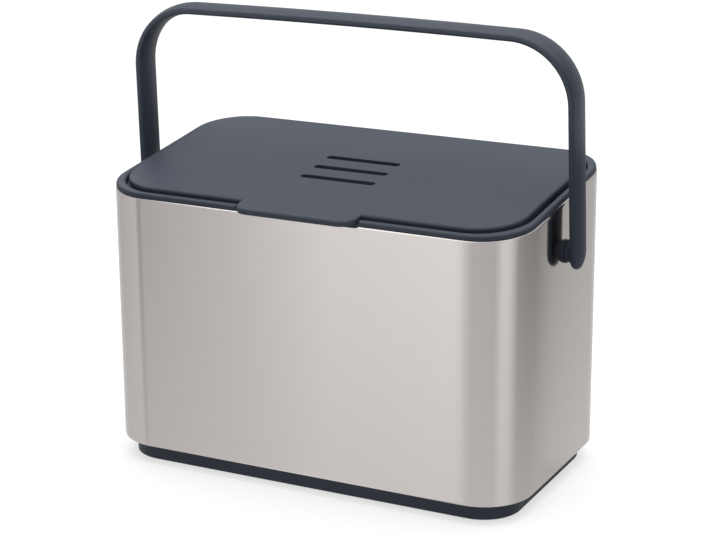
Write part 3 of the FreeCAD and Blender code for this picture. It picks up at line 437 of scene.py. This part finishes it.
def lay_floor():
    """A wide pale floor: near white to the eye and in the steel, and it still takes the bin's shadow."""
    half_side = 6.0
    shade = 0.42
    glow_level = 0.62
    mesh = bpy.data.meshes.new("floor")
    signs = [(-1, -1), (1, -1), (1, 1), (-1, 1)]
    mesh.from_pydata([(x * half_side, y * half_side, 0) for x, y in signs], [], [(0, 1, 2, 3)])
    floor = bpy.data.objects.new("floor", mesh)
    bpy.context.scene.collection.objects.link(floor)
    finish, tree, output = bare_material("floor_white")
    matt = add_node(tree, "ShaderNodeBsdfDiffuse", (0, 100), Color=(shade, shade, shade, 1))
    glow = add_node(tree, "ShaderNodeEmission", (0, -100))
    both = add_node(tree, "ShaderNodeAddShader", (300, 0))
    path = add_node(tree, "ShaderNodeLightPath", (-700, -100))
    either = add_node(tree, "ShaderNodeMath", (-450, -100), operation="ADD")
    every = add_node(tree, "ShaderNodeMath", (-300, -100), operation="ADD", use_clamp=True)
    level = add_node(tree, "ShaderNodeMath", (-150, -100), operation="MULTIPLY")
    level.inputs[1].default_value = glow_level
    wire = tree.links.new
    wire(path.outputs["Is Camera Ray"], either.inputs[0])
    wire(path.outputs["Is Glossy Ray"], either.inputs[1])
    wire(either.outputs["Value"], every.inputs[0])
    wire(path.outputs["Is Transmission Ray"], every.inputs[1])
    wire(every.outputs["Value"], level.inputs[0])
    wire(level.outputs["Value"], glow.inputs["Strength"])
    wire(matt.outputs["BSDF"], both.inputs[0])
    wire(glow.outputs["Emission"], both.inputs[1])
    wire(both.outputs["Shader"], output.inputs["Surface"])
    mesh.materials.append(finish)


def add_softbox(name, place, aim, size, power):
    """A rectangular soft light at a place, turned towards a point."""
    lamp = bpy.data.lights.new(name, "AREA")
    lamp.shape = "RECTANGLE"
    lamp.size = size[0]
    lamp.size_y = size[1]
    lamp.energy = power
    holder = bpy.data.objects.new(name, lamp)
    holder.location = place
    towards = Vector(aim) - Vector(place)
    holder.rotation_euler = towards.to_track_quat("-Z", "Y").to_euler()
    bpy.context.scene.collection.objects.link(holder)


def oval_rows(turns, reaches, heights):
    """Rows of points on the studio's oval: x = a r sin t, y = -b r cos t, with r and z given by row."""
    t = turns[None, :]
    r = np.array(reaches)[:, None]
    z = np.array(heights)[:, None]
    x = WALL_HALF_X * r * np.sin(t)
    y = -WALL_HALF_Y * r * np.cos(t)
    return np.stack([x, y, z + 0 * t], axis=-1).reshape(-1, 3)


def hide_but_glossy(panel):
    """A studio panel that only reflections meet: unseen, and it neither lights nor shades the bin."""
    panel.visible_camera = False
    panel.visible_diffuse = False
    panel.visible_transmission = False
    panel.visible_volume_scatter = False
    panel.visible_shadow = False


def raise_walls():
    """An oval of studio walls that only reflections meet, with a light level for each turn in degrees.

    The walls run from white in front through a grey gap and a bright strip to a dark flag at the
    right, with one thin dark line at the left front corner. Towards the floor, where a skirt runs in
    under the bin, they fade to one grey.
    """
    around = [
        (-180, 0.6), (-135, 0.95), (-115, 0.5), (-90, 0.92), (-55, 0.56), (-43.2, 0.7), (-42, 0.38),
        (-40.8, 0.57), (-20, 0.74), (0, 0.97), (32, 1.03), (39, 0.63), (48, 0.6), (51, 0.91),
        (54, 0.82), (59, 0.4), (66, 0.34), (101, 0.27), (112, 0.46), (126, 0.56), (140, 0.9), (180, 0.6),
    ]
    low, high = 0.001, 0.19
    skirt = 0.75
    steps = 180
    foot_grey, foot_share, clear_height = 0.74, 0.4, 0.15
    finish, tree, output = bare_material("studio_walls")
    where = add_node(tree, "ShaderNodeTexCoord", (-1100, 0))
    split = add_node(tree, "ShaderNodeSeparateXYZ", (-900, 0))
    side = add_node(tree, "ShaderNodeMath", (-700, 150), operation="DIVIDE")
    side.inputs[1].default_value = WALL_HALF_X
    front = add_node(tree, "ShaderNodeMath", (-700, -50), operation="DIVIDE")
    front.inputs[1].default_value = -WALL_HALF_Y
    turn = add_node(tree, "ShaderNodeMath", (-500, 100), operation="ARCTAN2")
    unit = add_node(tree, "ShaderNodeMapRange", (-300, 100), From_Min=-math.pi, From_Max=math.pi)
    wall = add_node(tree, "ShaderNodeValToRGB", (-100, 100))
    ramp = wall.color_ramp
    while len(ramp.elements) < len(around):
        ramp.elements.new(0.5)
    for stop, (degrees, level) in zip(ramp.elements, around):
        stop.position = (degrees + 180) / 360
        stop.color = (level, level, level, 1)
    rise = add_node(tree, "ShaderNodeMapRange", (-300, -200), From_Max=clear_height, To_Min=foot_share)
    foot = (foot_grey, foot_grey, foot_grey, 1)
    fade = add_node(tree, "ShaderNodeMix", (250, 0), data_type="RGBA", A=foot)
    glow = add_node(tree, "ShaderNodeEmission", (450, 0))
    wire = tree.links.new
    wire(where.outputs["Object"], split.inputs["Vector"])
    wire(split.outputs["X"], side.inputs[0])
    wire(split.outputs["Y"], front.inputs[0])
    wire(side.outputs["Value"], turn.inputs[0])
    wire(front.outputs["Value"], turn.inputs[1])
    wire(turn.outputs["Value"], unit.inputs["Value"])
    wire(unit.outputs["Result"], wall.inputs["Fac"])
    wire(split.outputs["Z"], rise.inputs["Value"])
    wire(rise.outputs["Result"], fade.inputs["Factor"])
    wire(wall.outputs["Color"], fade.inputs["B"])
    wire(fade.outputs["Result"], glow.inputs["Color"])
    wire(glow.outputs["Emission"], output.inputs["Surface"])
    turns = np.linspace(0, 2 * np.pi, steps, endpoint=False)
    points = oval_rows(turns, [skirt, 1.0, 1.0], [low, low, high])
    hide_but_glossy(surface("studio_walls", points, list(rows_of_faces(3, steps)), finish))


def hang_strip():
    """A bright strip over the front walls, on the same oval, that lights the steel's rolled top edge."""
    low, high = 0.185, 0.30
    from_turn, to_turn = math.radians(-100), math.radians(65)
    steps = 90
    finish, tree, output = bare_material("studio_strip")
    glow = add_node(tree, "ShaderNodeEmission", (0, 0), Strength=1.7)
    tree.links.new(glow.outputs["Emission"], output.inputs["Surface"])
    points = oval_rows(np.linspace(from_turn, to_turn, steps), [1.0, 1.0], [low, high])
    open_ended = rows_of_faces(2, steps)[:-1]
    hide_but_glossy(surface("studio_strip", points, list(open_ended), finish))


def light_studio():
    """A room with dark sides, a pale back wall and a pale ceiling, and one wide soft box over the bin."""
    front_level, side_level, back_level = 0.4, 0.05, 0.8
    ceiling_level = 1.3
    world = bpy.data.worlds.new("studio")
    bpy.context.scene.world = world
    world.use_nodes = True
    tree = world.node_tree
    tree.nodes.clear()
    where = add_node(tree, "ShaderNodeTexCoord", (-900, 0))
    split = add_node(tree, "ShaderNodeSeparateXYZ", (-700, 0))
    depth = add_node(tree, "ShaderNodeMapRange", (-500, 200), From_Min=-1.0)
    sides = add_node(tree, "ShaderNodeValToRGB", (-300, 200))
    sides.color_ramp.interpolation = "EASE"
    sides.color_ramp.elements.new(0.5)
    for stop, level in zip(sides.color_ramp.elements, (front_level, side_level, back_level)):
        stop.color = (level, level, level, 1)
    rise = add_node(tree, "ShaderNodeMapRange", (-500, -100), interpolation_type="SMOOTHSTEP",
                    From_Min=0.35, From_Max=1.0)
    ceiling = (ceiling_level, ceiling_level, ceiling_level, 1)
    room = add_node(tree, "ShaderNodeMix", (-100, 0), data_type="RGBA", B=ceiling)
    back = add_node(tree, "ShaderNodeBackground", (100, 0), Strength=1.0)
    output = add_node(tree, "ShaderNodeOutputWorld", (300, 0))
    wire = tree.links.new
    wire(where.outputs["Generated"], split.inputs["Vector"])
    wire(split.outputs["Y"], depth.inputs["Value"])
    wire(split.outputs["Z"], rise.inputs["Value"])
    wire(depth.outputs["Result"], sides.inputs["Fac"])
    wire(sides.outputs["Color"], room.inputs["A"])
    wire(rise.outputs["Result"], room.inputs["Factor"])
    wire(room.outputs["Result"], back.inputs["Color"])
    wire(back.outputs["Background"], output.inputs["Surface"])
    add_softbox("soft_box_over", place=(-0.05, 0.25, 1.7), aim=(0, 0, 0.1), size=(2.2, 1.8), power=20.0)


def aim_camera():
    """The photograph's lens and stand point: 26.7 degrees to the right of the front, 17 degrees up."""
    turn = math.radians(26.7)
    lift = math.radians(17.0065)
    roll = math.radians(-0.3686)
    focal_pixels = 2085.5
    photo_width = 716.0
    aim = Vector((0.00173, 0.0, 0.11309))
    distance = 1.21391
    level = math.cos(lift)
    back = Vector((math.sin(turn) * level, -math.cos(turn) * level, math.sin(lift)))
    right = Vector((math.cos(turn), math.sin(turn), 0.0))
    up = back.cross(right)
    across = math.cos(roll) * right + math.sin(roll) * up
    upward = math.cos(roll) * up - math.sin(roll) * right
    lens = bpy.data.cameras.new("photo_lens")
    lens.sensor_fit = "HORIZONTAL"
    lens.sensor_width = 36.0
    lens.lens = lens.sensor_width * focal_pixels / photo_width
    lens.clip_start = 0.05
    lens.clip_end = 50.0
    camera = bpy.data.objects.new("photo_camera", lens)
    facing = Matrix((across, upward, back)).transposed().to_4x4()
    camera.matrix_world = Matrix.Translation(aim + distance * back) @ facing
    bpy.context.scene.collection.objects.link(camera)
    bpy.context.scene.camera = camera


dress_solids()
lay_filter_pad()
lay_floor()
raise_walls()
hang_strip()
light_studio()
aim_camera()
bpy.context.scene.view_settings.view_transform = "Standard"
